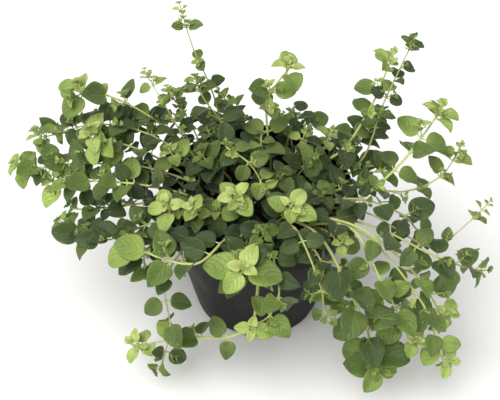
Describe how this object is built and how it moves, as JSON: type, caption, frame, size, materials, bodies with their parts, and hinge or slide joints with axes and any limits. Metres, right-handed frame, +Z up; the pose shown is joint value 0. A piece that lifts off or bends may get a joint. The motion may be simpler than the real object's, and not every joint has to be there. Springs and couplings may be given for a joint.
{
  "type": "potted oregano plant",
  "caption": "Bushy oregano plant with square stems that stand up, reach out and trail over the rim of a round, tapered nursery pot filled with soil.",
  "frame": {"origin": "middle of the pot's foot, on the surface that it stands on", "axes": "+Z is up. -Y is the front, the side that the longest stems hang over. +X is to the right, seen from the front."},
  "size_m": [0.298, 0.191, 0.2042],
  "materials": {
    "pot_plastic": "satin",
    "potting_soil": "matte",
    "foliage_dark": "satin",
    "foliage_mid": "satin",
    "foliage_lime": "satin"
  },
  "bodies": {
    "root": {"pot": "pot_plastic", "soil": "potting_soil", "leafy_stem_01": "foliage_mid", "leafy_stem_02": "foliage_mid", "leafy_stem_03": "foliage_mid", "leafy_stem_04": "foliage_mid", "leafy_stem_05": "foliage_mid", "leafy_stem_06": "foliage_lime", "leafy_stem_07": "foliage_mid", "leafy_stem_08": "foliage_lime", "leafy_stem_09": "foliage_lime", "leafy_stem_10": "foliage_dark", "leafy_stem_11": "foliage_lime", "leafy_stem_12": "foliage_dark", "leafy_stem_13": "foliage_lime", "leafy_stem_14": "foliage_mid", "leafy_stem_15": "foliage_mid", "leafy_stem_16": "foliage_mid", "leafy_stem_17": "foliage_dark", "leafy_stem_18": "foliage_lime", "leafy_stem_19": "foliage_lime", "leafy_stem_20": "foliage_mid", "leafy_stem_21": "foliage_lime", "leafy_stem_22": "foliage_lime", "leafy_stem_23": "foliage_lime", "leafy_stem_24": "foliage_mid", "leafy_stem_25": "foliage_mid", "leafy_stem_26": "foliage_lime", "leafy_stem_27": "foliage_lime", "leafy_stem_28": "foliage_lime", "leafy_stem_29": "foliage_lime", "leafy_stem_30": "foliage_dark", "leafy_stem_31": "foliage_mid", "leafy_stem_32": "foliage_dark", "leafy_stem_33": "foliage_dark", "leafy_stem_34": "foliage_lime", "leafy_stem_35": "foliage_mid", "leafy_stem_36": "foliage_mid", "leafy_stem_37": "foliage_dark", "leafy_stem_38": "foliage_lime", "leafy_stem_39": "foliage_mid", "leafy_stem_40": "foliage_dark", "leafy_stem_41": "foliage_lime", "leafy_stem_42": "foliage_lime", "leafy_stem_43": "foliage_lime", "leafy_stem_44": "foliage_mid", "leafy_stem_45": "foliage_lime", "leafy_stem_46": "foliage_lime", "leafy_stem_47": "foliage_mid", "leafy_stem_48": "foliage_dark", "leafy_stem_49": "foliage_dark", "leafy_stem_50": "foliage_dark", "leafy_stem_51": "foliage_dark", "leafy_stem_52": "foliage_mid", "leafy_stem_53": "foliage_dark", "leafy_stem_54": "foliage_dark", "leafy_stem_55": "foliage_dark", "leafy_stem_56": "foliage_dark", "leafy_stem_57": "foliage_mid", "leafy_stem_58": "foliage_mid"}
  },
  "joints": []
}
